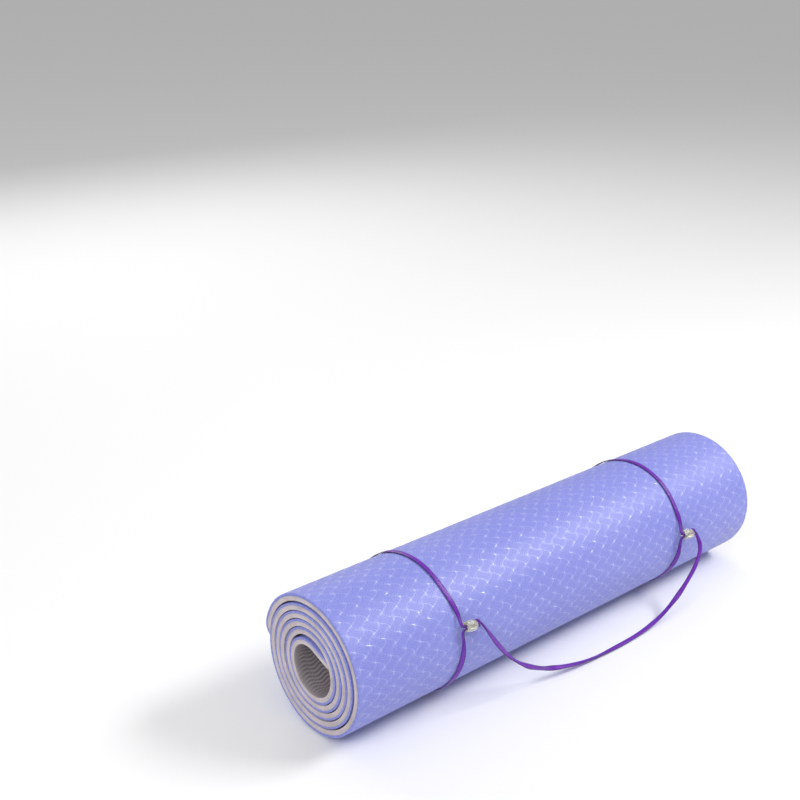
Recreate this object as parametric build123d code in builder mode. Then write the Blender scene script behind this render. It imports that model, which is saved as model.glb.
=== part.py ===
from build123d import *
import os
from math import acos, atan2, cos, degrees, hypot, pi, radians, sin, sqrt, tan

# A two-layer foam exercise mat, rolled up and held by a cord carry strap.
# The strap is one cord: a noose round the roll near each end, each noose closed by a
# barrel bead and a knot, and a slack carry handle between the two beads.
# +X runs along the roll, -Y is the front with the beads, +Z is up, and the floor is Z = 0.

# Mat, in millimetres
mat_width = 610
mat_length = 1780
top_thickness = 3.0
base_thickness = 5.0
turn_gap = 0.3            # air left between one turn and the next
corner_radius = 50        # rounded corners of the mat's outer edge
flat_depth = 0.45         # how far the foam is pressed flat where the roll rests

# Winding, seen from +X: the mat turns clockwise on its way outwards
flap_length = 20.5        # straight lip of the inner end
flap_angle = 20           # rise of the lip, degrees
flap_radius = 23.2        # bend between the lip and the first regular turn
core_radius = 29.0        # first quarter turn of the regular winding
slack_turn = 4            # the regular turn that is wound loosely at the front
slack = 2.0

# Nooses
noose_x = (-175, 168.5)
noose_width = 5.0
noose_thickness = 1.2
noose_clearance = 0.3
throat_height = 3.4       # where a noose narrows towards its bead

# Beads and knots
bead_angle = (17.6, 7.8)  # height of each bead round the roll's front, degrees
bead_diameter = 12.0
bead_length = 13.5
bead_bore = 5.4
bead_rounding = 2.2
bead_clearance = 1.2      # between a bead and the roll
bead_offset = 10.0        # from the middle of a noose to the middle of its bead
knot_diameter = 7.6
knot_length = 4.2
knot_gap = 0.3            # between a knot and its bead

# Cord
cord_diameter = 4.4
cord_start = 11.6         # from a bead's middle to the joint of the noose and the handle

# Slack handle: its points between the two straight ends, on the row's own axes
handle_route = [
    (-134.5, -79.5, 90), (-126, -83, 74.5), (-113, -85.5, 56), (-94, -88, 38), (-70, -90, 23),
    (-38, -92.5, 11), (-3, -95, 4.2), (43, -97.5, 2.7), (86, -95.5, 2.9), (121, -94, 9.5),
    (149, -93.5, 24), (171, -93, 41), (188, -91, 57), (199.5, -86, 71.5),
]
handle_lead = 9.0         # straight stretch where the handle leaves a bead

thickness = top_thickness + base_thickness
pitch = thickness + turn_gap


def turning_point(angle, distance):
    """The point at a distance along a direction, angle in degrees from +Y towards +Z."""
    return (distance * cos(radians(angle)), distance * sin(radians(angle)))


def wind():
    """Quarter arcs of the mat's underside: centre, radius, start angle and span in degrees."""
    arcs = []
    point, heading, left = (0.0, 0.0), flap_angle, mat_length - flap_length
    turn, quarter = 0, 0
    while left > 1e-6:
        if not arcs:
            radius, span = flap_radius, 90 + flap_angle
        else:
            radius, span = core_radius + pitch * quarter / 4, 90
            if quarter in (4 * slack_turn + 1, 4 * slack_turn + 3):
                radius += slack
            quarter += 1
        length = radians(span) * (radius + thickness / 2)
        if length > left:
            span *= left / length
        left -= length
        to_centre = turning_point(heading - 90, radius)
        centre = (point[0] + to_centre[0], point[1] + to_centre[1])
        arcs.append((centre, radius, heading + 90, -span))
        heading -= span
        away = turning_point(heading + 90, radius)
        point = (centre[0] + away[0], centre[1] + away[1])
    return arcs


arcs = wind()
last_turn = arcs[-5:]
corners = [
    (centre[0] + (radius + thickness) * way[0], centre[1] + (radius + thickness) * way[1])
    for centre, radius, start, span in last_turn
    for way in [turning_point(start, 1)]
]
roll_front, roll_back = min(y for y, z in corners), max(y for y, z in corners)
roll_low, roll_top = min(z for y, z in corners), max(z for y, z in corners)
middle = ((roll_front + roll_back) / 2, (roll_low + roll_top) / 2)
noose_reach = noose_clearance + noose_thickness


def front_reach(angle):
    """Distance from the roll's middle to its surface, at an angle above its front."""
    centre, radius, start, span = [arc for arc in arcs if round(arc[2] - 180) % 360 == 0][-1]
    way = (-cos(radians(angle)), sin(radians(angle)))
    across = (middle[0] - centre[0], middle[1] - centre[1])
    along = across[0] * way[0] + across[1] * way[1]
    return sqrt(along**2 - hypot(*across) ** 2 + (radius + thickness) ** 2) - along


# Beads in the winding's own plane, and the shift that stands the row on Z = 0 about Y = 0
bead_spots = []
for angle in bead_angle:
    distance = front_reach(angle) + bead_clearance + bead_diameter / 2
    way = turning_point(180 - angle, distance)
    bead_spots.append((middle[0] + way[0], middle[1] + way[1]))
row_front = min(y for y, z in bead_spots) - bead_diameter / 2
row_back = roll_back + noose_reach
shift = Vector(0, -(row_front + row_back) / 2, noose_reach - flat_depth - roll_low)
winding_plane = Plane(origin=shift, x_dir=(0, 1, 0), z_dir=(1, 0, 0))

bead_centres = [
    Vector(x + bead_offset, y, z) + shift for x, (y, z) in zip(noose_x, bead_spots)
]
strap_line = (bead_centres[1] - bead_centres[0]).normalized()


def strap_plane(side, along):
    """Plane across the line through both beads, at a distance past one bead's middle."""
    return Plane(origin=bead_centres[side] + strap_line * along, x_dir=(0, 1, 0), z_dir=strap_line)


# What is cut away to round a corner of the outer edge: a stretch of the last turn,
# outside a quarter circle seen square on to the middle of that stretch
centre, radius, start, span = arcs[-1]
edge_angle = start + span
corner_sweep = degrees(corner_radius / (radius + thickness / 2))
half_chord = (radius + thickness / 2) * sin(radians(corner_sweep / 2))
outward = turning_point(edge_angle + corner_sweep / 2, 1)
corner_x = mat_width / 2 - corner_radius
with BuildPart() as corner_waste:
    with BuildSketch(winding_plane.offset(corner_x)):
        with BuildLine():
            low = CenterArc(centre, radius - turn_gap / 2, edge_angle - 1, corner_sweep + 1)
            high = CenterArc(centre, radius + thickness + 1, edge_angle - 1, corner_sweep + 1)
            Line(low @ 0, high @ 0)
            Line(low @ 1, high @ 1)
        make_face()
    extrude(amount=corner_radius + 1)
    hub = Vector(corner_x, *centre) + Vector(0, shift.Y, shift.Z)
    with BuildSketch(Plane(origin=hub, x_dir=(1, 0, 0), z_dir=(0, *outward))):
        with Locations((0, -half_chord)):
            Rectangle(corner_radius + 2, 3 * corner_radius, align=(Align.MIN, Align.MIN))
            Circle(corner_radius, mode=Mode.SUBTRACT)
    extrude(amount=2 * radius, mode=Mode.INTERSECT)


def mat_layer(inner, outer):
    """A layer of the rolled mat between two depths measured from the mat's underside."""
    tip = turning_point(flap_angle + 180, flap_length)
    with BuildPart() as layer:
        with BuildSketch(winding_plane):
            with BuildLine():
                ends = []
                for depth in (inner, outer):
                    lift = turning_point(flap_angle + 90, depth)
                    lip = Line((tip[0] + lift[0], tip[1] + lift[1]), lift)
                    bends = [
                        CenterArc(arc_centre, arc_radius + depth, arc_start, arc_sweep)
                        for arc_centre, arc_radius, arc_start, arc_sweep in arcs
                    ]
                    ends.append((lip @ 0, bends[-1] @ 1))
                Line(ends[0][0], ends[1][0])
                Line(ends[0][1], ends[1][1])
            make_face()
        extrude(amount=mat_width / 2, both=True)
        add(corner_waste.part, mode=Mode.SUBTRACT)
        add(mirror(corner_waste.part, about=Plane.YZ, mode=Mode.PRIVATE), mode=Mode.SUBTRACT)
        split(bisect_by=Plane.XY.offset(noose_reach), keep=Keep.TOP)
    return layer.part


# The roll's outline: its outermost turn, closed by a line from the outer edge to where
# it touches the turn below
under_centre, under_radius, under_start, under_span = last_turn[0]
tip_way = turning_point(edge_angle, radius + thickness)
tip_y, tip_z = centre[0] + tip_way[0], centre[1] + tip_way[1]
tip_distance = hypot(tip_y - under_centre[0], tip_z - under_centre[1])
tip_angle = degrees(atan2(tip_z - under_centre[1], tip_y - under_centre[0]))
touch_angle = tip_angle - degrees(acos((under_radius + thickness) / tip_distance))
under_rest = (under_start + under_span - touch_angle) % 360 - 360
with BuildSketch() as roll_outline:
    with BuildLine():
        under = CenterArc(under_centre, under_radius + thickness, touch_angle, under_rest)
        for arc_centre, arc_radius, arc_start, arc_span in last_turn[1:]:
            outer = CenterArc(arc_centre, arc_radius + thickness, arc_start, arc_span)
        Line(outer @ 1, under @ 0)
    make_face()


def outline_above(gap, height):
    """The roll's outline grown by a gap, and cut flat at a height above the floor."""
    with BuildSketch() as grown:
        add(roll_outline.sketch)
        offset(amount=gap)
        with Locations((0, height - shift.Z)):
            Rectangle(3 * radius, radius, align=(Align.CENTER, Align.MAX), mode=Mode.SUBTRACT)
    return grown.sketch


def noose(side):
    """A band round the roll, its throat, and the doubled cord that goes through the bead."""
    with BuildPart() as loop:
        with BuildSketch(winding_plane.offset(noose_x[side])):
            add(outline_above(noose_reach, 0))
            add(outline_above(noose_clearance, noose_thickness), mode=Mode.SUBTRACT)
        extrude(amount=noose_width / 2, both=True)
        root = bead_centres[side] - strap_line * bead_offset
        outward_yz = turning_point(180 - bead_angle[side], 1)
        throat_length = bead_clearance + (bead_diameter - noose_thickness) / 2 - noose_clearance
        crown = root + Vector(0, *outward_yz) * (cord_diameter / 2)
        with BuildSketch(Plane(origin=crown, x_dir=(1, 0, 0), z_dir=(0, *outward_yz))):
            Rectangle(noose_width, throat_height)
        extrude(amount=-throat_length - cord_diameter / 2)
        with BuildSketch(strap_plane(side, -bead_offset)):
            Circle(cord_diameter / 2)
        extrude(amount=bead_offset + cord_start)
    return loop.part


def bead(side):
    """A barrel bead on the strap's line, bored through."""
    with BuildPart() as barrel:
        with BuildSketch(strap_plane(side, -bead_length / 2)):
            Circle(bead_diameter / 2)
            Circle(bead_bore / 2, mode=Mode.SUBTRACT)
        extrude(amount=bead_length)
        fillet(barrel.edges().filter_by(GeomType.CIRCLE).group_by(SortBy.RADIUS)[-1], radius=bead_rounding)
    return barrel.part


def knot(side):
    """The knot that follows a bead: a soft ring drawn tight round the cord."""
    with BuildPart() as ring:
        with BuildSketch(strap_plane(side, bead_length / 2 + knot_gap)):
            Circle(knot_diameter / 2)
            Circle(bead_bore / 2, mode=Mode.SUBTRACT)
        extrude(amount=knot_length)
        fillet(ring.edges().filter_by(GeomType.CIRCLE).group_by(SortBy.RADIUS)[-1], radius=0.9 * (knot_diameter - bead_bore) / 2)
    return ring.part


def handle():
    """The slack handle: straight runs joined by arcs, from one noose's end to the other's."""
    starts = [spot + strap_line * cord_start for spot in bead_centres]
    leads = [spot + strap_line * handle_lead for spot in starts]
    points = [starts[0], leads[0], *[Vector(*point) for point in handle_route], leads[1], starts[1]]
    runs = [after - before for before, after in zip(points, points[1:])]
    bend_radii = []
    for before, after in zip(runs, runs[1:]):
        half_turn = radians(before.get_angle(after)) / 2
        bend_radii.append(0.45 * min(before.length, after.length) / tan(half_turn))
    print("handle runs", [round(run.length, 1) for run in runs])
    print("handle turns", [round(a.get_angle(b)) for a, b in zip(runs, runs[1:])])
    print("handle radii", [round(bend, 1) for bend in bend_radii])
    with BuildPart() as cord:
        with BuildLine() as path:
            FilletPolyline(*points, radius=bend_radii)
        with BuildSketch(Plane(origin=starts[0], z_dir=strap_line)):
            Circle(cord_diameter / 2)
        sweep(path=path.wire())
    section = pi * cord_diameter**2 / 4
    length = path.wire().length
    print("handle length", round(length, 1), "volume ratio", round(cord.part.volume / section / length, 4))
    return cord.part


pieces = {
    "mat_base_layer": mat_layer(0, base_thickness),
    "mat_top_layer": mat_layer(base_thickness, thickness),
    "handle_cord": handle(),
}
for side, name in enumerate(("left", "right")):
    pieces[name + "_noose"] = noose(side)
    pieces[name + "_bead"] = bead(side)
    pieces[name + "_knot"] = knot(side)

os.makedirs("parts", exist_ok=True)
for name, piece in pieces.items():
    piece.label = name
    export_step(piece, f"parts/{name}.step")
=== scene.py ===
import bpy
import numpy as np
from mathutils import Matrix, Vector


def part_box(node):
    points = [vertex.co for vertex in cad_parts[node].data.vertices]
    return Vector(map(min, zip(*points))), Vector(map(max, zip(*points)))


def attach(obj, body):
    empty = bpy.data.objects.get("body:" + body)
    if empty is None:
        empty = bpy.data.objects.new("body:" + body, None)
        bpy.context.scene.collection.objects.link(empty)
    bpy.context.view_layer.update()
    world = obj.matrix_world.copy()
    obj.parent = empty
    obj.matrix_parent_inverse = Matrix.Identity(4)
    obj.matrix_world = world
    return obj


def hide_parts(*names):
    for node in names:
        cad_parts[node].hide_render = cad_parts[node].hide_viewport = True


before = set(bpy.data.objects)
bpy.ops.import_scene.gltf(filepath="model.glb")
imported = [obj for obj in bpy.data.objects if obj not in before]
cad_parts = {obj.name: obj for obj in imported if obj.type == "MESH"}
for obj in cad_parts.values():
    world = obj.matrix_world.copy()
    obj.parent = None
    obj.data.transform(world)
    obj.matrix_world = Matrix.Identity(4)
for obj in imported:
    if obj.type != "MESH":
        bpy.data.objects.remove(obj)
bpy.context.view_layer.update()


# A mesh object with its place in its mesh; uv is one (u, v) per point, in metres
def newMesh(name, points, faces, uv=None):
    mesh = bpy.data.meshes.new(name)
    mesh.from_pydata(points.tolist(), [], [list(map(int, face)) for face in faces])
    mesh.polygons.foreach_set("use_smooth", np.full(len(mesh.polygons), True))
    if uv is not None:
        corner = np.empty(len(mesh.loops), dtype=np.int32)
        mesh.loops.foreach_get("vertex_index", corner)
        layer = mesh.uv_layers.new(name="surface")
        layer.data.foreach_set("uv", uv[corner].astype(np.float32).ravel())
    mesh.update()
    piece = bpy.data.objects.new(name, mesh)
    bpy.context.scene.collection.objects.link(piece)
    return piece


# Quads between neighbouring rows of point numbers, all rows equally long
def stitch(rows):
    return np.stack([rows[:-1, :-1], rows[:-1, 1:], rows[1:, 1:], rows[1:, :-1]], -1).reshape(-1, 4)


# Sum of tetrahedra from the origin over each face's fan, positive when faces point outwards
def signedVolume(points, faces):
    total = 0.0
    for size in {len(face) for face in faces}:
        same = np.array([face for face in faces if len(face) == size])
        for k in range(1, size - 1):
            a, b, c = points[same[:, 0]], points[same[:, k]], points[same[:, k + 1]]
            total += float(np.einsum("ij,ij->i", a, np.cross(b, c)).sum())
    return total / 6


def facingOut(points, faces):
    if signedVolume(points, faces) < 0:
        faces = [face[::-1] for face in faces]
    return faces


def unit(vectors):
    return vectors / np.linalg.norm(vectors, axis=-1, keepdims=True)


# two directions square to an axis and to each other
def squareTo(axis):
    first = unit(np.cross(axis, [0, 0, 1.0]))
    return first, np.cross(axis, first)


# quads of a surface that closes on itself both ways: rings of equally many points
def ringFaces(rings, sides):
    ids = np.arange(rings * sides).reshape(rings, sides)
    closed = np.concatenate([ids, ids[:, :1]], 1)
    return stitch(np.concatenate([closed, closed[:1]], 0)).tolist()


# 0 below low, 1 above high, and 3t^2 - 2t^3 between
def smoothStep(value, low, high):
    t = np.clip((value - low) / (high - low), 0, 1)
    return t * t * (3 - 2 * t)


# the mat: two layers wound as one, in metres and degrees
mat = {
    "width": 0.610,
    "length": 1.780,
    "baseThickness": 0.005,
    "topThickness": 0.003,
    "turnGap": 0.0003,
    "cornerRadius": 0.050,
    "lipLength": 0.0205,
    "lipAngle": 20.0,
    "lipBend": 0.0232,
    "lipSlant": 0.0055,        # how far the underside runs on at the inner edge
    "lipSlantFade": 0.012,
    "coreRadius": 0.029,
    "slackTurn": 4,
    "slack": 0.002,
    "outerLength": 0.475,      # length, from the outer edge, of the turn that shows its top
    "lastTurns": (0.6, 4001),  # length, from the outer edge, that bounds the roll, and points on it
    "edgeRounding": 0.0005,
    "edgeWander": 0.0008,      # how far the turns' edges stray from one plane
    "wanderWaves": (23.0, 7.3),
    "easing": 0.0006,          # how much thinner the wound turns are pressed than the outer one
    "easingFade": 0.03,
    "shownLength": 1.762,      # where the outer edge lies on the winding
    "ribPitch": 0.0046,
    "ribDepth": 0.0010,
    "ribWave": 0.0016,
    "ribWaveLength": 0.020,
    "ribReach": 0.240,         # length of mat, from the inner end, with modelled ribs
    "ribFade": 0.02,
    "ribSides": (0.001, 0.012),    # in from the sides, where ribs start and where they are full
    "ribAtSides": 0.25,        # share of the ribs' depth left at the sides
    "paintedShadeOnCrests": 0.35,        # painted shade on the underside's crests, where a groove has 1
    "netAcross": 0.00935,      # half the spacing of the top's nodes across the mat
    "netAlong": 0.00775,       # and along it
    "netSwing": 0.34,          # how far the net's lines bend sideways, in half spacings
    "pillowDepth": 0.00004,
    "baseRows": (0.0009, 0.0038),          # spacing of rows: over the ribs, and past them
    "baseColumns": (0.003, 0.011, 0.120),  # spacing near the sides, between, and reach of the first
    "topRows": (0.0019, 0.0045),           # spacing of rows: in the turn that shows, and before it
    "topColumns": 321,
    "topSkip": 16,
    "hiddenColumns": 9,
    "cornerRows": 30,
}
matThickness = mat["baseThickness"] + mat["topThickness"]
outerTurn = mat["length"] - mat["outerLength"]


# The winding as arcs: each row is start length, centre y, centre z, radius, start angle
def windMat():
    pitch = matThickness + mat["turnGap"]
    rows, along, quarter = [], mat["lipLength"], 0
    point, heading = np.zeros(2), np.radians(mat["lipAngle"])
    while along < mat["length"]:
        if not rows:
            radius, turn = mat["lipBend"], np.radians(90 + mat["lipAngle"])
        else:
            radius, turn = mat["coreRadius"] + pitch * quarter / 4, np.pi / 2
            if quarter in (4 * mat["slackTurn"] + 1, 4 * mat["slackTurn"] + 3):
                radius += mat["slack"]
            quarter += 1
        centre = point + radius * np.array([np.sin(heading), -np.cos(heading)])
        rows.append((along, centre[0], centre[1], radius, heading + np.pi / 2))
        along += turn * (radius + matThickness / 2)
        heading -= turn
        point = centre + radius * np.array([-np.sin(heading), np.cos(heading)])
    return np.array(rows)


winding = windMat()


# (y, z) of a point of the mat, from its length along the mat and its depth above the underside:
# centre + (radius + depth) at the angle start - length / (radius + half the thickness)
def onWinding(along, depth):
    part = np.clip(np.searchsorted(winding[:, 0], along, side="right") - 1, 0, None)
    start, centreY, centreZ, radius, first = np.moveaxis(winding[part], -1, 0)
    angle = first - (along - start) / (radius + matThickness / 2)
    lip = along < mat["lipLength"]
    lean = np.radians(mat["lipAngle"])
    back = along - mat["lipLength"]
    y = np.where(lip, back * np.cos(lean) - depth * np.sin(lean), centreY + (radius + depth) * np.cos(angle))
    z = np.where(lip, back * np.sin(lean) + depth * np.cos(lean), centreZ + (radius + depth) * np.sin(angle))
    return y, z


# The shift that lays the wound outline in the CAD roll's box: backs and tops agree
def placeWinding():
    shown, steps = mat["lastTurns"]
    along = np.linspace(mat["length"] - shown, mat["length"], steps)
    y, z = onWinding(along, matThickness)
    low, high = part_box("mat_top_layer")
    return np.array([high[1] - y.max(), high[2] - z.max()]), low[2]


windingShift, matFloor = placeWinding()


# Half the mat's width, less the quarter circle that rounds the outer edge's corners
def halfWidth(along):
    into = np.clip(along - (mat["shownLength"] - mat["cornerRadius"]), 0, mat["cornerRadius"])
    return mat["width"] / 2 - mat["cornerRadius"] + np.sqrt(mat["cornerRadius"] ** 2 - into**2)


# Depth of the underside's wavy ribs: a rounded wave of length + swing * sin(across)
def ribs(along, across):
    swing = mat["ribWave"] * np.sin(2 * np.pi * across / mat["ribWaveLength"])
    crest = 0.5 - 0.5 * np.cos(2 * np.pi * (along + swing) / mat["ribPitch"])
    fade = 1 - smoothStep(along, mat["ribReach"] - mat["ribFade"], mat["ribReach"])
    inwards = smoothStep(mat["width"] / 2 - np.abs(across), *mat["ribSides"])
    edge = mat["ribAtSides"] + (1 - mat["ribAtSides"]) * inwards
    return mat["ribDepth"] * crest**1.2 * fade * edge


# Soft pillows between the top's net of lines: |sin p sin q| on the bent diagonals p and q
def pillows(along, across):
    v = along / mat["netAlong"]
    u = across / mat["netAcross"] + mat["netSwing"] * np.sin(np.pi * v)
    p, q = (u + v) / 2, (u - v) / 2
    return mat["pillowDepth"] * np.abs(np.sin(np.pi * p) * np.sin(np.pi * q))


# Places across the mat and their inset at the edge, for columns from -1 to 1 plus a rounded edge
def acrossMat(along, columns, rounding):
    bend = np.radians([90, 60, 30])
    outer = rounding * (1 - np.sin(bend))
    inset = rounding * (1 - np.cos(bend))
    flat = halfWidth(along)[:, None] - rounding
    middle = flat * columns[None, :]
    side = flat + rounding - outer[None, :]
    x = np.concatenate([-side, middle, side[:, ::-1]], 1)
    drop = np.concatenate([inset, np.zeros(len(columns)), inset[::-1]])
    quick, slow = mat["wanderWaves"]
    wander = mat["edgeWander"] * np.sin(along * quick + 1.0) * np.sin(along * slow)
    return x + wander[:, None], np.broadcast_to(drop, x.shape)


# One face of a layer as points and uv; relief goes into the foam, against sign
def matFace(along, columns, depth, relief, rounding, sign):
    x, drop = acrossMat(along, columns, rounding)
    s = np.broadcast_to(along[:, None], x.shape)
    hollow = drop + (relief(s, x) * (drop == 0) if relief else 0)
    slant = np.clip(1 - s / mat["lipSlantFade"], 0, 1) * (1 - depth / matThickness)
    s = s - mat["lipSlant"] * slant
    wound = 1 - smoothStep(along, outerTurn - mat["easingFade"], outerTurn)
    eased = mat["easing"] * wound[:, None] * (depth == matThickness)
    y, z = onWinding(s, depth - eased - sign * hollow)
    y, z = y + windingShift[0], np.maximum(z + windingShift[1], matFloor)
    return np.stack([x, y, z], -1).reshape(-1, 3), np.stack([x, s], -1).reshape(-1, 2), x.shape


# Lengths along the mat for the rows of a grid: fine steps between two lengths, coarse elsewhere,
# and even steps of angle round the outer corners
def rowsAlong(fineFrom, fineTo, fine, coarse):
    cornerStart = mat["shownLength"] - mat["cornerRadius"]
    ends = [0.0, fineFrom, fineTo, cornerStart]
    steps = [coarse, fine, coarse]
    rows = [np.linspace(a, b, max(2, int(round((b - a) / step)) + 1))[:-1]
            for a, b, step in zip(ends, ends[1:], steps) if b > a]
    rows.append(cornerStart + mat["cornerRadius"] * np.sin(np.linspace(0, np.pi / 2, mat["cornerRows"])))
    return np.concatenate(rows)


# A closed layer between two depths. Rows before coarseRows keep every skip-th column of the high
# face, and one band of larger faces joins them to the full rows
def matLayer(name, lowDepth, highDepth, rows, lowColumns, highColumns, lowRelief, highRelief,
             coarseRows=0, skip=1):
    rounding = mat["edgeRounding"]
    low = matFace(rows, lowColumns, lowDepth, lowRelief, rounding if lowDepth == 0 else 0, -1)
    high = matFace(rows, highColumns, highDepth, highRelief, rounding if lowDepth > 0 else 0, 1)
    lowIds = np.arange(len(low[0])).reshape(low[2])
    highIds = np.arange(len(high[0])).reshape(high[2]) + len(low[0])
    faces = [stitch(lowIds)[:, ::-1]]
    edges = np.array([0, 1, 2])
    middle = np.arange(0, len(highColumns), skip) + len(edges)
    kept = np.concatenate([edges, middle, high[2][1] - 1 - edges[::-1]])
    if coarseRows:
        faces.append(stitch(highIds[:coarseRows][:, kept]))
        faces.append(stitch(highIds[coarseRows:]))
        before, after = highIds[coarseRows - 1], highIds[coarseRows]
        band = [[before[a], before[b], *after[a:b + 1][::-1]] for a, b in zip(kept[:-1], kept[1:])]
    else:
        faces.append(stitch(highIds))
        band = []
    for edge in (0, -1):
        ribbon = np.stack([lowIds[:, edge], highIds[:, edge]], 1)
        faces.append(stitch(ribbon)[:, ::-1] if edge else stitch(ribbon))
    startHigh = highIds[0][kept] if coarseRows else highIds[0]
    caps = [[*lowIds[0], *startHigh[::-1]], [*highIds[-1], *lowIds[-1][::-1]]]
    everyFace = [face for block in faces for face in block.tolist()] + band + caps
    points, uv = np.concatenate([low[0], high[0]]), np.concatenate([low[1], high[1]])
    used = np.zeros(len(points), bool)
    used[np.concatenate([np.asarray(face) for face in everyFace])] = True
    renumber = np.cumsum(used) - 1
    everyFace = [[renumber[i] for i in face] for face in everyFace]
    points, uv = points[used], uv[used]
    piece = newMesh(name, points, facingOut(points, everyFace), uv)
    # Painted shade for the underside, kept as a point attribute: darkest down in the grooves, lighter on the
    # crests, none near the cut edges at the sides
    if lowRelief:
        across, along = low[1].T
        paintedGrooveShade = lowRelief(along, across) / mat["ribDepth"]
        inner = mat["paintedShadeOnCrests"] + (1 - mat["paintedShadeOnCrests"]) * paintedGrooveShade
        inner *= np.abs(across) < mat["width"] / 2 - 2 * rounding
        depth = np.concatenate([inner, np.zeros(len(high[0]))])[used]
        layer = piece.data.attributes.new("paintedGrooveShade", "FLOAT", "POINT")
        layer.data.foreach_set("value", depth.astype(np.float32))
    print(name, "faces", len(piece.data.polygons))
    return piece


# Columns from -1 to 1 of the half width: fine steps within reach of each edge, coarse between
def unevenColumns(fine, coarse, reach):
    half = mat["width"] / 2
    edge = np.arange(0, reach, fine)
    middle = np.linspace(reach, 2 * half - reach, int((2 * half - 2 * reach) / coarse) + 1)
    return np.concatenate([edge, middle, 2 * half - edge[::-1]]) / half - 1


hiddenColumns = np.linspace(-1, 1, mat["hiddenColumns"])
baseRows = rowsAlong(0.0, mat["ribReach"], *mat["baseRows"])
topRows = rowsAlong(outerTurn, mat["shownLength"] - mat["cornerRadius"], *mat["topRows"])
topColumns = np.linspace(-1, 1, mat["topColumns"])
base = matLayer("foamBase", 0.0, mat["baseThickness"], baseRows,
                unevenColumns(*mat["baseColumns"]), hiddenColumns, ribs, None)
top = matLayer("foamTop", mat["baseThickness"], matThickness, topRows, hiddenColumns, topColumns,
               None, pillows, int(np.searchsorted(topRows, outerTurn)), mat["topSkip"])
print("mat wound")


# the strap: one flat cord that makes two nooses and the handle
cord = {
    "width": 0.0056,
    "thickness": 0.0012,
    "sides": 14,
    "waist": (0.28, 0.22),         # depth and width, as shares, of the groove down its middle
    "noosesX": (-0.175, 0.1685),
    "endPastBead": 0.0116,
    "mouthBeforeBead": 0.0048,
    "strandGap": 0.00105,          # half the distance between the two strands in a bead
    "closing": 0.8,                # share of that distance left at the strands' ends
    "strandSteps": 26,
    "clearance": 0.0003,
    "outline": (0.56, 2400, 720),  # length of mat that a noose lies on, points on it, and angles
    "open": 0.20,                  # radians of the roll, each side of the bead, spanned by a bend
    "loopSteps": 420,
    "beadTwist": (1.25, 0.30),     # twist in radians beside the bead, and how far round it reaches
    "lowTwist": (0.75, 0.80),      # and more of it on the lower side
    "ripple": (0.10, 5),           # twist in radians, and how often round the roll
    "gathered": (0.52, 1.35),      # width and thickness inside a bead, as shares
    "gatheredSteps": (24, 75),     # where along the path, in steps, it opens out
    "swaySoftening": 61,
    # how far each noose strays along the roll, in mm, at these degrees round from its bead
    "swayAt": (0, 15, 35, 60, 85, 110, 180, 250, 305, 330, 345, 360),
    "sway": ((2.2, 2.0, -1.2, -1.4, -3.2, -4.5, -8.0, -6.0, -1.5, 1.0, 2.2, 2.2),
             (2.2, 4.6, 6.4, 6.4, 5.6, 3.4, -3.0, -3.0, -0.5, 1.3, 2.2, 2.2)),
}


# A flat cord along a path: a rounded slot section, width * sign(cos) |cos|^0.7 by height * sin,
# turned by twist about the path, and facing up where the twist is 0. uv is along, across
def ribbon(name, path, up, twist, widths, heights):
    tangent = unit(np.gradient(path, axis=0))
    normal = unit(up - (up * tangent).sum(-1, keepdims=True) * tangent)
    side = np.cross(tangent, normal)
    turn = twist[:, None]
    wide = np.cos(turn) * side + np.sin(turn) * normal
    high = -np.sin(turn) * side + np.cos(turn) * normal
    ring = cord["sides"]
    angle = np.arange(ring) * 2 * np.pi / ring
    across = np.sign(np.cos(angle)) * np.abs(np.cos(angle)) ** 0.7
    waist = 1 - cord["waist"][0] * np.exp(-((across / cord["waist"][1]) ** 2))
    points = (path[:, None, :]
              + (widths[:, None] / 2 * across)[:, :, None] * wide[:, None, :]
              + (heights[:, None] / 2 * np.sin(angle) * waist)[:, :, None] * high[:, None, :])
    count = len(path)
    ids = np.arange(count * ring).reshape(count, ring)
    closed = np.concatenate([ids, ids[:, :1]], 1)
    faces = stitch(closed).tolist() + [ids[0].tolist()[::-1], ids[-1].tolist()]
    steps = np.linalg.norm(np.diff(path, axis=0), axis=1)
    along = np.concatenate([[0], np.cumsum(steps)])
    uv = np.stack([np.broadcast_to(along[:, None], ids.shape),
                   np.broadcast_to(across * cord["width"] / 2, ids.shape)], -1).reshape(-1, 2)
    flat = points.reshape(-1, 3)
    return newMesh(name, flat, facingOut(flat, faces), uv)


def boxCentre(node):
    low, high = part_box(node)
    return (np.array(low) + np.array(high)) / 2


beadCentres = [boxCentre("left_bead"), boxCentre("right_bead")]
strapLine = unit(beadCentres[1] - beadCentres[0])
beadLeans = np.array([(0, -0.05, -0.14), (0, -0.14, -0.10)])
beadAxes = unit(strapLine + beadLeans)


# The roll's outermost turn as a closed loop in (y, z): its points pushed out to the hull that a
# tight noose would follow, and flat where the roll rests
def rollOutline():
    shown, steps, count = cord["outline"]
    along = np.linspace(mat["length"] - shown, mat["length"], steps)
    y, z = onWinding(along, matThickness)
    cloud = np.stack([y + windingShift[0], np.maximum(z + windingShift[1], matFloor)], 1)
    middle = (cloud.max(0) + cloud.min(0)) / 2
    angle = np.linspace(-np.pi, np.pi, count, endpoint=False)
    ways = np.stack([np.cos(angle), np.sin(angle)], 1)
    support = ((cloud - middle) @ ways.T).max(0)
    slope = (np.roll(support, -1) - np.roll(support, 1)) / (2 * (angle[1] - angle[0]))
    return middle, angle, support, slope


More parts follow.
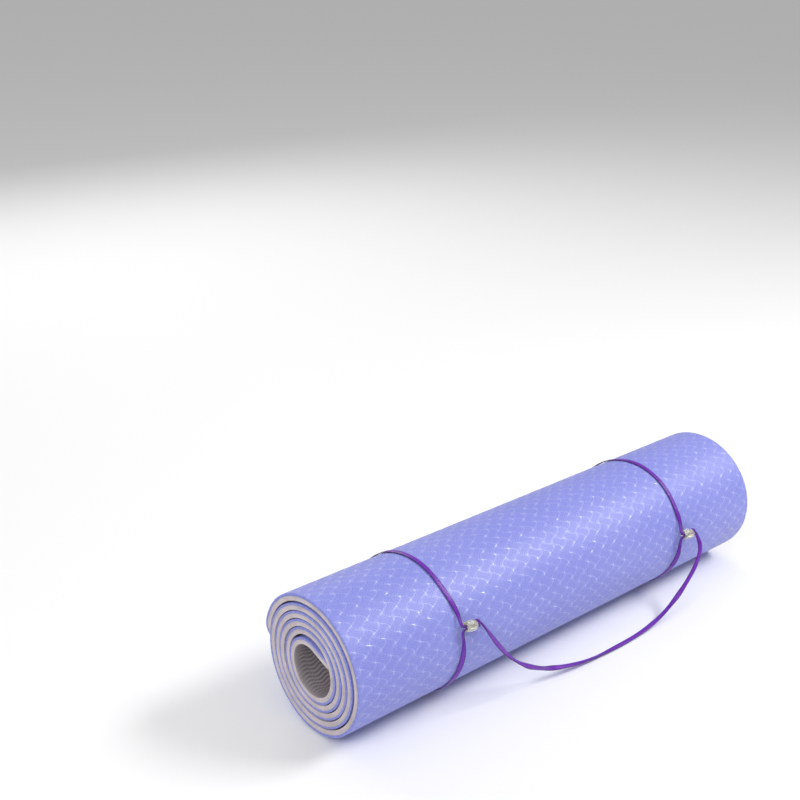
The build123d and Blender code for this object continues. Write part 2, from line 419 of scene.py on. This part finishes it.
# A noose's path: from inside its bead, up over the roll, round under it and back into the bead. A
# place on the roll is middle + support * way + slope * across
def nooseOn(side):
    middle, angle, support, slope = rollOutline()
    bead = beadCentres[side]
    mouthAngle = np.arctan2(bead[2] - middle[1], bead[1] - middle[0])
    turn = np.linspace(cord["open"], 2 * np.pi - cord["open"], cord["loopSteps"])  # from the bead
    at = (mouthAngle - turn + np.pi) % (2 * np.pi) - np.pi
    reach = np.interp(at, angle, support, period=2 * np.pi)
    slip = np.interp(at, angle, slope, period=2 * np.pi)
    way = np.stack([np.cos(at), np.sin(at)], 1)
    across = np.stack([-way[:, 1], way[:, 0]], 1)
    fromBead = np.minimum(turn, 2 * np.pi - turn)
    beadTwist, beadReach = cord["beadTwist"]
    lowTwist, lowReach = cord["lowTwist"]
    ripple, ripples = cord["ripple"]
    twist = beadTwist * np.exp(-((fromBead / beadReach) ** 2)) + ripple * np.sin(ripples * turn + side)
    twist += lowTwist * (turn > np.pi) * np.exp(-((fromBead / lowReach) ** 4))
    lift = (cord["clearance"] + np.abs(np.sin(twist)) * cord["width"] / 2
            + np.abs(np.cos(twist)) * cord["thickness"] / 2)
    yz = middle + (reach + lift)[:, None] * way + slip[:, None] * across
    sway = np.interp(np.degrees(turn), cord["swayAt"], cord["sway"][side])
    soft = np.hanning(cord["swaySoftening"])
    padded = np.pad(sway, len(soft) // 2, mode="edge")
    x = cord["noosesX"][side] + np.convolve(padded, soft / soft.sum(), "valid") / 1000
    loop = np.column_stack([x, yz[:, 0], np.maximum(yz[:, 1], cord["thickness"] / 2 + 0.0001)])
    up = np.column_stack([np.zeros(len(x)), way])
    return loop, up, twist, way


# A smooth join: a cubic from start along startWay to end along endWay
def bend(start, startWay, end, endWay, count, stretch=0.5):
    span = np.linalg.norm(end - start) * stretch
    t = np.linspace(0, 1, count)[1:-1, None]
    places = (start, start + startWay * span, end - endWay * span, end)
    weights = ((1 - t) ** 3, 3 * t * (1 - t) ** 2, 3 * t**2 * (1 - t), t**3)
    return sum(weight * place for weight, place in zip(weights, places))


# A noose: two gathered strands inside the bead, a bend from each, and the loop round the roll, all
# one ribbon that grows from its gathered to its full width as 3t^2 - 2t^3 of the steps from an end
def makeNoose(side, name):
    loop, up, twist, way = nooseOn(side)
    bead, axis = beadCentres[side], strapLine
    pair = np.array([0, way[0, 1], -way[0, 0]])                # round the roll, across the bead's axis
    pair = unit(pair - axis * (pair @ axis))
    gap = cord["strandGap"]
    far = bead + axis * cord["endPastBead"]
    near = bead - axis * cord["mouthBeforeBead"]
    outward = np.array([0, way[0, 0], way[0, 1]])
    firstTangent, lastTangent = unit(loop[1] - loop[0]), unit(loop[-1] - loop[-2])
    upper = pair * gap if np.dot(loop[0] - bead, pair) > 0 else -pair * gap
    steps, closing = cord["strandSteps"], cord["closing"]
    inTop = np.linspace(far + upper * closing, near + upper, steps)
    inLow = np.linspace(near - upper, far - upper * closing, steps)
    joinTop = bend(near + upper, -axis, loop[0], firstTangent, steps)
    joinLow = bend(loop[-1], lastTangent, near - upper, axis, steps)
    path = np.concatenate([inTop, joinTop, loop, joinLow, inLow])
    ups = np.concatenate([np.broadcast_to(outward, (len(inTop) + len(joinTop), 3)), up,
                          np.broadcast_to(outward, (len(inLow) + len(joinLow), 3))])
    twists = np.concatenate([np.full(len(inTop) + len(joinTop), twist[0]), twist,
                             np.full(len(inLow) + len(joinLow), twist[-1])])
    position = np.arange(len(path))
    fromEnds = np.minimum(position, len(path) - 1 - position)
    opened = smoothStep(fromEnds.astype(float), *cord["gatheredSteps"])
    narrow, thick = cord["gathered"]
    widths = cord["width"] * (narrow + (1 - narrow) * opened)
    heights = cord["thickness"] * (thick + (1 - thick) * opened)
    return ribbon(name, path, ups, twists, widths, heights)


nooses = [makeNoose(0, "leftNoose"), makeNoose(1, "rightNoose")]

# places the handle passes, from the left bead down to the floor and up to the right bead
handlePoints = [
    (-0.1445, -0.0805, 0.087), (-0.134, -0.0835, 0.070), (-0.1205, -0.086, 0.0515), (-0.101, -0.0885, 0.034),
    (-0.076, -0.0905, 0.020), (-0.042, -0.093, 0.009), (-0.003, -0.0955, 0.0026), (0.043, -0.0965, 0.0014),
    (0.084, -0.0955, 0.0018), (0.118, -0.094, 0.0075), (0.145, -0.0935, 0.021), (0.166, -0.093, 0.0375),
    (0.1825, -0.0915, 0.0535), (0.1945, -0.087, 0.0695),
]
handle = {
    "leads": (0.0025, 0.0025),
    "steps": 420,
    "startTwist": (1.3, 0.020),    # radians at the left knot, and the length they fade over
    "endTwist": (1.1, 0.04),
    "waves": ((0.62, 47.0, -1.3), (0.3, 101.0, 0.0)),      # radians, waves per metre times 2 pi, start
    "lying": (0.0030, 0.020),      # heights between which the cord turns from flat to twisted
    "lyingTwist": 0.30,            # share of the twist kept on the floor
    "facing": (-0.35, -0.72, 0.60),
    "knotted": (0.62, 1.7),        # width and thickness at the knots, as shares
    "knottedReach": (0.004, 0.022),
}


# The route's NURBS spline, read back as points with no bevel, evened out along its length
def smoothRoute(points):
    curve = bpy.data.curves.new("route", "CURVE")
    curve.dimensions = "3D"
    curve.resolution_u = 24
    spline = curve.splines.new("NURBS")
    spline.points.add(len(points) - 1)
    spline.points.foreach_set("co", np.column_stack([points, np.ones(len(points))]).ravel())
    spline.order_u = 3
    spline.use_endpoint_u = True
    carrier = bpy.data.objects.new("route", curve)
    mesh = bpy.data.meshes.new_from_object(carrier)
    line = np.empty(len(mesh.vertices) * 3)
    mesh.vertices.foreach_get("co", line)
    line = line.reshape(-1, 3)
    bpy.data.meshes.remove(mesh)
    bpy.data.objects.remove(carrier)
    bpy.data.curves.remove(curve)
    along = np.concatenate([[0], np.cumsum(np.linalg.norm(np.diff(line, axis=0), axis=1))])
    even = np.linspace(0, along[-1], handle["steps"])
    return np.stack([np.interp(even, along, line[:, k]) for k in range(3)], 1), along[-1]


# The handle along its smoothed route. Its twist is a fading turn at the left knot, two sine waves
# and a growing turn at the right knot, and it lies flat where the cord is on the floor
def makeHandle():
    starts = [bead + strapLine * cord["endPastBead"] for bead in beadCentres]
    leads = [start + strapLine * lead for start, lead in zip(starts, handle["leads"])]
    route = np.array([starts[0], leads[0], *handlePoints, leads[1], starts[1]])
    path, length = smoothRoute(route)
    along = np.linspace(0, length, len(path))
    startTwist, startFade = handle["startTwist"]
    endTwist, endFade = handle["endTwist"]
    twist = startTwist * np.exp(-((along / startFade) ** 2))
    twist += sum(swing * np.sin(along * rate + start) for swing, rate, start in handle["waves"])
    twist += endTwist * smoothStep(along, length - endFade, length)
    lifted = smoothStep(path[:, 2], *handle["lying"])
    twist *= handle["lyingTwist"] + (1 - handle["lyingTwist"]) * lifted
    share = lifted[:, None]
    up = unit(np.array(handle["facing"]) * share + np.array([0.0, 0.0, 1.0]) * (1 - share))
    freed = smoothStep(np.minimum(along, length - along), *handle["knottedReach"])
    narrow, thick = handle["knotted"]
    widths = cord["width"] * (narrow + (1 - narrow) * freed)
    heights = cord["thickness"] * (thick + (1 - thick) * freed)
    piece = ribbon("handleCord", path, up, twist, widths, heights)
    return piece


handleCord = makeHandle()
print("strap made")


bead = {
    "length": 0.0135,
    "radius": 0.0060,
    "mouthRadius": 0.0046,
    "bore": 0.0029,
    "lip": 0.0009,
    "rings": 33,
    "sides": 56,
    "boreRings": 9,
    "lipSteps": 10,
}


# A barrel turned about the strap's line: radius = mouth + (belly - mouth) * cos^0.6 of the way from
# the middle, with rounded lips and a straight bore
def makeBead(side, name):
    half = bead["length"] / 2
    out = np.linspace(-1, 1, bead["rings"]) * (half - bead["lip"])
    swell = np.cos(out / half * np.pi / 2) ** 0.6
    belly = bead["mouthRadius"] + (bead["radius"] - bead["mouthRadius"]) * swell
    corner = np.linspace(0, np.pi, bead["lipSteps"])[1:-1]
    wall = (belly[-1] - bead["bore"]) / 2
    lipX = half - bead["lip"] + bead["lip"] * np.sin(corner)
    lipR = bead["bore"] + wall + wall * np.cos(corner)
    inner = np.linspace(1, -1, bead["boreRings"]) * (half - bead["lip"])
    x = np.concatenate([out, lipX, inner, -lipX[::-1]])
    r = np.concatenate([belly, lipR, np.full(len(inner), bead["bore"]), lipR[::-1]])
    sides = bead["sides"]
    angle = np.arange(sides) * 2 * np.pi / sides
    axis = beadAxes[side]
    a, b = squareTo(axis)
    points = (beadCentres[side] + x[:, None, None] * axis
              + r[:, None, None] * (np.cos(angle)[:, None] * a + np.sin(angle)[:, None] * b))
    flat = points.reshape(-1, 3)
    return newMesh(name, flat, facingOut(flat, ringFaces(len(x), sides)))


knot = {
    "past": 0.0094,                # from the bead's middle
    "size": 0.0031,
    "rise": 0.0011,
    "tube": 0.0017,
    "flattening": 0.8,
    "weaveStep": 0.004,            # metres of woven pattern for each radian round the knot
    "steps": 160,
    "sides": 12,
}


# A small overhand knot: the trefoil (sin t + 2 sin 2t, cos t - 2 cos 2t, -sin 3t) drawn tight round
# the strap's line
def makeKnot(side, name):
    t = np.linspace(0, 2 * np.pi, knot["steps"], endpoint=False) + side
    axis = strapLine
    a, b = squareTo(axis)
    size = knot["size"] / 3                # the trefoil's own reach is 3
    path = (beadCentres[side] + axis * knot["past"]
            + (size * (np.sin(t) + 2 * np.sin(2 * t)))[:, None] * a
            + (size * (np.cos(t) - 2 * np.cos(2 * t)))[:, None] * b
            - (knot["rise"] * np.sin(3 * t))[:, None] * axis)
    tangent = unit(np.roll(path, -1, 0) - np.roll(path, 1, 0))
    normal = unit(np.cross(tangent, axis))
    second = np.cross(tangent, normal)
    sides, tube = knot["sides"], knot["tube"]
    angle = np.arange(sides) * 2 * np.pi / sides
    points = (path[:, None] + tube * np.cos(angle)[None, :, None] * normal[:, None]
              + knot["flattening"] * tube * np.sin(angle)[None, :, None] * second[:, None])
    along = t * knot["weaveStep"]
    uv = np.stack(np.broadcast_arrays(along[:, None], (angle * tube)[None, :]), -1).reshape(-1, 2)
    flat = points.reshape(-1, 3)
    return newMesh(name, flat, facingOut(flat, ringFaces(len(t), sides)), uv)


beads = [makeBead(0, "leftBead"), makeBead(1, "rightBead")]
knots = [makeKnot(0, "leftKnot"), makeKnot(1, "rightKnot")]
print("beads and knots made")


# A Principled material and its nodes; sockets are set by their own names
def newMaterial(name, colour, roughness, **sockets):
    material = bpy.data.materials.new(name)
    material.use_nodes = True
    nodes = material.node_tree.nodes
    shader = nodes["Principled BSDF"]
    shader.inputs["Base Color"].default_value = (*colour, 1)
    shader.inputs["Roughness"].default_value = roughness
    for socket, value in sockets.items():
        shader.inputs[socket.replace("_", " ")].default_value = value
    return material, material.node_tree, shader


def mathNode(tree, operation, a, b=None, c=None):
    node = tree.nodes.new("ShaderNodeMath")
    node.operation = operation
    for socket, value in zip(node.inputs, (a, b, c)):
        if value is None:
            continue
        if isinstance(value, (int, float)):
            socket.default_value = value
        else:
            tree.links.new(value, socket)
    return node.outputs[0]


# a bump from a height socket
def addBump(tree, shader, height, distance, strength):
    bump = tree.nodes.new("ShaderNodeBump")
    bump.inputs["Distance"].default_value = distance
    bump.inputs["Strength"].default_value = strength
    tree.links.new(height, bump.inputs["Height"])
    tree.links.new(bump.outputs["Normal"], shader.inputs["Normal"])


# the piece's own uv in metres: the vector, and its two numbers
def surfaceXY(tree):
    uv = tree.nodes.new("ShaderNodeUVMap")
    uv.uv_map = "surface"
    parts = tree.nodes.new("ShaderNodeSeparateXYZ")
    tree.links.new(uv.outputs["UV"], parts.inputs["Vector"])
    return uv.outputs["UV"], parts.outputs["X"], parts.outputs["Y"]


def noise(tree, vector, scale, detail=2.0, roughness=0.5):
    node = tree.nodes.new("ShaderNodeTexNoise")
    node.inputs["Scale"].default_value = scale
    node.inputs["Detail"].default_value = detail
    node.inputs["Roughness"].default_value = roughness
    tree.links.new(vector, node.inputs["Vector"])
    return node.outputs["Fac"]


# Mixes two colours by amount into a colour socket
def blendColour(tree, amount, low, high, socket):
    mix = tree.nodes.new("ShaderNodeMix")
    mix.data_type = "RGBA"
    mix.inputs["A"].default_value = (*low, 1)
    mix.inputs["B"].default_value = (*high, 1)
    tree.links.new(amount, mix.inputs["Factor"])
    tree.links.new(mix.outputs["Result"], socket)


net = {
    "lineWidth": 0.055,        # this and the next in spacings of one diagonal
    "armWidth": 0.13,
    "stray": 0.11,             # how far noise shifts a line, in half spacings across the mat
    "strayScale": 60.0,
    "lineAtMiddle": 0.18,      # share of a line's height left between its nodes
    "strokes": 10,             # half waves of strokes for each spacing
    "strokeEdge": 4.0,         # how sharply one set of strokes gives way to the other
}


# The top's net of raised lines, as the mesh's pillows have it: on each bent diagonal the line's
# height is 1 / (1 + (distance / width)^2), weaker away from the nodes, where their product is
# highest. Between the lines, fine strokes run along one diagonal and then the other, as sin p sin q
# changes sign
def netHeight(tree, uv, x, y):
    v = mathNode(tree, "DIVIDE", y, mat["netAlong"])
    wave = mathNode(tree, "SINE", mathNode(tree, "MULTIPLY", v, np.pi))
    swing = mathNode(tree, "MULTIPLY", wave, mat["netSwing"])
    shift = noise(tree, uv, net["strayScale"], 1.0)
    stray = mathNode(tree, "MULTIPLY_ADD", shift, 2 * net["stray"], -net["stray"])
    straight = mathNode(tree, "DIVIDE", x, mat["netAcross"])
    u = mathNode(tree, "ADD", straight, mathNode(tree, "ADD", swing, stray))
    lines, arms, waves, stripes = [], [], [], []
    for operation in ("ADD", "SUBTRACT"):
        place = mathNode(tree, "MULTIPLY", mathNode(tree, operation, u, v), 0.5)
        away = mathNode(tree, "SUBTRACT", place, mathNode(tree, "ROUND", place))
        for width, found in ((net["lineWidth"], lines), (net["armWidth"], arms)):
            wide = mathNode(tree, "DIVIDE", away, width)
            found.append(mathNode(tree, "DIVIDE", 1.0, mathNode(tree, "MULTIPLY_ADD", wide, wide, 1.0)))
        waves.append(mathNode(tree, "SINE", mathNode(tree, "MULTIPLY", place, np.pi)))
        stripes.append(mathNode(tree, "SINE", mathNode(tree, "MULTIPLY", place, net["strokes"] * np.pi)))
    node = mathNode(tree, "MULTIPLY", *lines)
    least = net["lineAtMiddle"]
    fading = [mathNode(tree, "MULTIPLY", line, mathNode(tree, "MULTIPLY_ADD", arm, 1 - least, least))
              for line, arm in zip(lines, arms[::-1])]
    side = mathNode(tree, "MULTIPLY_ADD", mathNode(tree, "MULTIPLY", *waves), net["strokeEdge"], 0.5)
    side.node.use_clamp = True
    over = mathNode(tree, "MULTIPLY", side, stripes[0])
    under = mathNode(tree, "MULTIPLY", mathNode(tree, "SUBTRACT", 1.0, side), stripes[1])
    return mathNode(tree, "MAXIMUM", *fading), node, mathNode(tree, "ADD", over, under)


topFinish = {
    "low": (0.158, 0.178, 0.635),
    "high": (0.560, 0.590, 0.970),
    "nodeHeight": 1.4,
    "worn": (140.0, 2.8, -0.55),   # noise scale, gain and offset that break the lines up
    "grain": (1100.0, 3.0, 0.6),   # noise scale, detail and roughness
    "dimpleScale": 330.0,
    "speckleScale": 420.0,
    "cloud": (9.0, 3.0),           # noise scale and detail
    "grainHeight": 0.22,
    "dimpleHeight": 0.55,
    "strokeHeight": 0.02,
    "bump": (0.0005, 0.40),
    # the next two paint highlight onto the raised lines and nodes, and painted light and shade onto the fine
    # strokes
    "linePaintedHighlight": 0.36,
    "strokePaintedLight": 0.08,
    "cloudTint": 0.13,
    "speckleTint": 0.24,
    "roughness": 0.50,
    "lineGloss": 0.40,
    "grainRoughness": 0.10,
    "smoothest": 0.23,
}


# blue-violet foam: a net of bent diagonal lines with woven strokes between them, closed-cell grain, and
# painted highlight on the lines and their nodes
def topFoam():
    material, tree, shader = newMaterial("blueVioletFoam", (0.245, 0.262, 0.80), 0.42,
                                         Specular_IOR_Level=0.75, Sheen_Weight=0.05, Sheen_Roughness=0.45)
    uv, x, y = surfaceXY(tree)
    lines, nodes, strokes = netHeight(tree, uv, x, y)
    wornScale, wornGain, wornOffset = topFinish["worn"]
    worn = mathNode(tree, "MULTIPLY_ADD", noise(tree, uv, wornScale, 3.0), wornGain, wornOffset)
    raised = mathNode(tree, "MULTIPLY_ADD", nodes, topFinish["nodeHeight"], lines)
    raised = mathNode(tree, "MULTIPLY", raised, worn)
    grain = noise(tree, uv, *topFinish["grain"])
    dimples = noise(tree, uv, topFinish["dimpleScale"])
    height = mathNode(tree, "MULTIPLY_ADD", dimples, topFinish["dimpleHeight"], raised)
    height = mathNode(tree, "MULTIPLY_ADD", grain, topFinish["grainHeight"], height)
    height = mathNode(tree, "MULTIPLY_ADD", strokes, topFinish["strokeHeight"], height)
    addBump(tree, shader, height, *topFinish["bump"])
    speckle = noise(tree, uv, topFinish["speckleScale"])
    cloud = noise(tree, uv, *topFinish["cloud"])
    tint = mathNode(tree, "MULTIPLY", speckle, topFinish["speckleTint"])
    tint = mathNode(tree, "MULTIPLY_ADD", cloud, topFinish["cloudTint"], tint)
    # painted highlight: the raised lines, and their nodes most, are painted lighter; the strokes are painted
    # lighter and darker by turns
    tint = mathNode(tree, "MULTIPLY_ADD", raised, topFinish["linePaintedHighlight"], tint)
    tint = mathNode(tree, "MULTIPLY_ADD", strokes, topFinish["strokePaintedLight"], tint)
    blendColour(tree, tint, topFinish["low"], topFinish["high"], shader.inputs["Base Color"])
    rough = mathNode(tree, "MULTIPLY_ADD", raised, -topFinish["lineGloss"], topFinish["roughness"])
    rough = mathNode(tree, "MULTIPLY_ADD", grain, topFinish["grainRoughness"], rough)
    rough = mathNode(tree, "MAXIMUM", rough, topFinish["smoothest"])
    tree.links.new(rough, shader.inputs["Roughness"])
    return material


baseFinish = {
    "low": (0.10, 0.08, 0.10),
    "high": (0.92, 0.83, 0.86),
    "grain": (1300.0, 3.0, 0.6),
    "patchScale": 60.0,
    "bump": (0.00025, 0.5),
    "grainTint": 0.4,
    "patchTint": 0.4,
    "tint": 0.2,
    # how strongly the painted shade darkens the underside, most in its grooves
    "paintedShadeStrength": 0.85,
}


# pale lilac-grey foam with cell grain; painted shade darkens its underside a little on the crests and most
# down in the grooves between its wavy ribs
def baseFoam():
    material, tree, shader = newMaterial("paleLilacFoam", (0.60, 0.52, 0.56), 0.62, Specular_IOR_Level=0.35)
    place = tree.nodes.new("ShaderNodeTexCoord").outputs["Object"]
    grain = noise(tree, place, *baseFinish["grain"])
    patches = noise(tree, place, baseFinish["patchScale"])
    addBump(tree, shader, grain, *baseFinish["bump"])
    tint = mathNode(tree, "MULTIPLY_ADD", patches, baseFinish["patchTint"], baseFinish["tint"])
    tint = mathNode(tree, "MULTIPLY_ADD", grain, baseFinish["grainTint"], tint)
    paintedGrooveShade = tree.nodes.new("ShaderNodeAttribute")
    paintedGrooveShade.attribute_name = "paintedGrooveShade"
    paintedDarkening = mathNode(tree, "MULTIPLY", paintedGrooveShade.outputs["Fac"], baseFinish["paintedShadeStrength"])
    tint = mathNode(tree, "MULTIPLY", tint, mathNode(tree, "SUBTRACT", 1.0, paintedDarkening))
    blendColour(tree, tint, baseFinish["low"], baseFinish["high"], shader.inputs["Base Color"])
    return material


cordFinish = {
    "low": (0.026, 0.002, 0.085),
    "high": (0.250, 0.032, 0.640),
    "threadPitch": 0.00055,
    "weftPitch": 0.0007,
    "threadHeight": 0.2,
    "crossHeight": 0.25,
    "bump": (0.00012, 0.6),
    "weaveTint": 0.6,
    "streakScale": 220.0,
    "streakTint": 0.6,
    # the next two set the painted shade towards the cord's edges
    "edgePaintedShadePower": 3.0,
    "edgePaintedShade": 0.6,
}


# purple satin cord: fine threads along it, crossed by a low weave, with painted shade that darkens it
# towards its two edges
def strapWeave():
    material, tree, shader = newMaterial("purpleSatinCord", (0.15, 0.03, 0.36), 0.30,
                                         Specular_IOR_Level=0.5, Sheen_Weight=0.0, Sheen_Roughness=0.3)
    uv, along, across = surfaceXY(tree)
    turn = 2 * np.pi
    threads = mathNode(tree, "SINE", mathNode(tree, "MULTIPLY", across, turn / cordFinish["threadPitch"]))
    weft = mathNode(tree, "SINE", mathNode(tree, "MULTIPLY", along, turn / cordFinish["weftPitch"]))
    crossed = mathNode(tree, "MULTIPLY", threads, weft)
    weave = mathNode(tree, "MULTIPLY_ADD", crossed, cordFinish["crossHeight"], 0.5)
    weave = mathNode(tree, "MULTIPLY_ADD", threads, cordFinish["threadHeight"], weave)
    addBump(tree, shader, weave, *cordFinish["bump"])
    # painted shade: darker towards the cord's two edges, as |across / half width| to a power
    paintedEdgeShade = mathNode(tree, "ABSOLUTE", mathNode(tree, "DIVIDE", across, cord["width"] / 2))
    paintedEdgeShade = mathNode(tree, "POWER", paintedEdgeShade, cordFinish["edgePaintedShadePower"])
    streaks = noise(tree, uv, cordFinish["streakScale"])
    tint = mathNode(tree, "MULTIPLY", streaks, cordFinish["streakTint"])
    tint = mathNode(tree, "MULTIPLY_ADD", weave, cordFinish["weaveTint"], tint)
    tint = mathNode(tree, "SUBTRACT", tint, mathNode(tree, "MULTIPLY", paintedEdgeShade, cordFinish["edgePaintedShade"]))
    blendColour(tree, tint, cordFinish["low"], cordFinish["high"], shader.inputs["Base Color"])
    return material


beadFinish = {
    "low": (0.94, 0.93, 0.70),
    "high": (0.99, 0.99, 0.88),
    "flowScale": 260.0,
    "bump": (0.0001, 0.10),
}


# clear moulded plastic with a faint yellow cast and tiny flow marks
def clearPlastic():
    material, tree, shader = newMaterial("clearBeadPlastic", (0.92, 0.92, 0.72), 0.14,
                                         Transmission_Weight=0.76, IOR=1.36)
    place = tree.nodes.new("ShaderNodeTexCoord").outputs["Object"]
    flow = noise(tree, place, beadFinish["flowScale"])
    addBump(tree, shader, flow, *beadFinish["bump"])
    blendColour(tree, flow, beadFinish["low"], beadFinish["high"], shader.inputs["Base Color"])
    return material


topMaterial = topFoam()
baseMaterial = baseFoam()
cordMaterial = strapWeave()
beadMaterial = clearPlastic()

# each piece with the node it stands for, its body, its slot and its material
pieces = [
    (base, "mat_base_layer", "roll", "base_foam", baseMaterial),
    (top, "mat_top_layer", "roll", "top_foam", topMaterial),
    (nooses[0], "left_noose", "strap", "strap_cord", cordMaterial),
    (nooses[1], "right_noose", "strap", "strap_cord", cordMaterial),
    (beads[0], "left_bead", "left_stopper", "clear_bead", beadMaterial),
    (beads[1], "right_bead", "right_stopper", "clear_bead", beadMaterial),
    (knots[0], "left_knot", "left_stopper", "strap_cord", cordMaterial),
    (knots[1], "right_knot", "right_stopper", "strap_cord", cordMaterial),
    (handleCord, "handle_cord", "handle", "strap_cord", cordMaterial),
]
for piece, node, body, finish, material in pieces:
    piece.data.materials.append(material)
    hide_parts(node)
    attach(piece, body)
print("pieces placed")


# the stage: floor, light and camera, in metres, watts and strengths of the room's light
stage = {
    "floor": (0.92, 0.92, 0.925),
    "floorReach": 12.0,
    "zenith": 0.68,
    "horizon": 0.06,
    "behind": 0.75,            # what the camera sees past the floor
    "lamps": {                 # place, aim, size and power
        "key": ((1.35, -1.10, 1.80), (0, 0, 0.05), (1.1, 0.5), 36),
        "fill": ((-2.0, -0.8, 1.75), (0, 0, 0.05), (1.4, 1.0), 25),
        "back": ((0.3, 2.2, 1.3), (0, 0, 0.1), (2.0, 0.8), 15),
    },
    "lens": 57.3,
    "cameraAt": (-0.9279, -0.8578, 0.7781),
    "cameraLooks": (0.6039, 0.7055, -0.3709),
}


def areaLight(name, spot, target, size, power):
    lamp = bpy.data.lights.new(name, "AREA")
    lamp.shape = "RECTANGLE"
    lamp.size, lamp.size_y = size
    lamp.energy = power
    holder = bpy.data.objects.new(name, lamp)
    bpy.context.scene.collection.objects.link(holder)
    way = Vector(target) - Vector(spot)
    holder.matrix_world = Matrix.Translation(spot) @ way.to_track_quat("-Z", "Y").to_matrix().to_4x4()


def makeStage():
    corners = np.array([(-1, -1, 0), (1, -1, 0), (1, 1, 0), (-1, 1, 0)]) * stage["floorReach"]
    floor = newMesh("floor", corners, [[0, 1, 2, 3]])
    floor.data.materials.append(newMaterial("paleFloor", stage["floor"], 0.7, Specular_IOR_Level=0.2)[0])
    world = bpy.data.worlds.new("paleRoom")
    world.use_nodes = True
    tree = world.node_tree
    place = tree.nodes.new("ShaderNodeTexCoord")
    parts = tree.nodes.new("ShaderNodeSeparateXYZ")
    tree.links.new(place.outputs["Generated"], parts.inputs["Vector"])
    height = mathNode(tree, "MAXIMUM", parts.outputs["Z"], 0.0)
    power = mathNode(tree, "MULTIPLY_ADD", height, stage["zenith"] - stage["horizon"], stage["horizon"])
    sight = tree.nodes.new("ShaderNodeLightPath").outputs["Is Camera Ray"]
    power = mathNode(tree, "MULTIPLY_ADD", sight, mathNode(tree, "SUBTRACT", stage["behind"], power), power)
    tree.links.new(power, tree.nodes["Background"].inputs["Strength"])
    tree.nodes["Background"].inputs["Color"].default_value = (1, 1, 1, 1)
    bpy.context.scene.world = world
    bpy.context.scene.view_settings.view_transform = "Standard"
    for name, lamp in stage["lamps"].items():
        areaLight(name, *lamp)


# The camera that sees the roll's left end, its front and its top
def makeCamera():
    lens = bpy.data.cameras.new("camera")
    lens.sensor_width = 36.0
    lens.lens = stage["lens"]
    holder = bpy.data.objects.new("camera", lens)
    bpy.context.scene.collection.objects.link(holder)
    forward = Vector(stage["cameraLooks"]).normalized()
    right = forward.cross(Vector((0, 0, 1))).normalized()
    up = right.cross(forward)
    turn = Matrix((right, up, -forward)).transposed().to_4x4()
    holder.matrix_world = Matrix.Translation(stage["cameraAt"]) @ turn
    bpy.context.scene.camera = holder


makeStage()
makeCamera()
print("stage set")
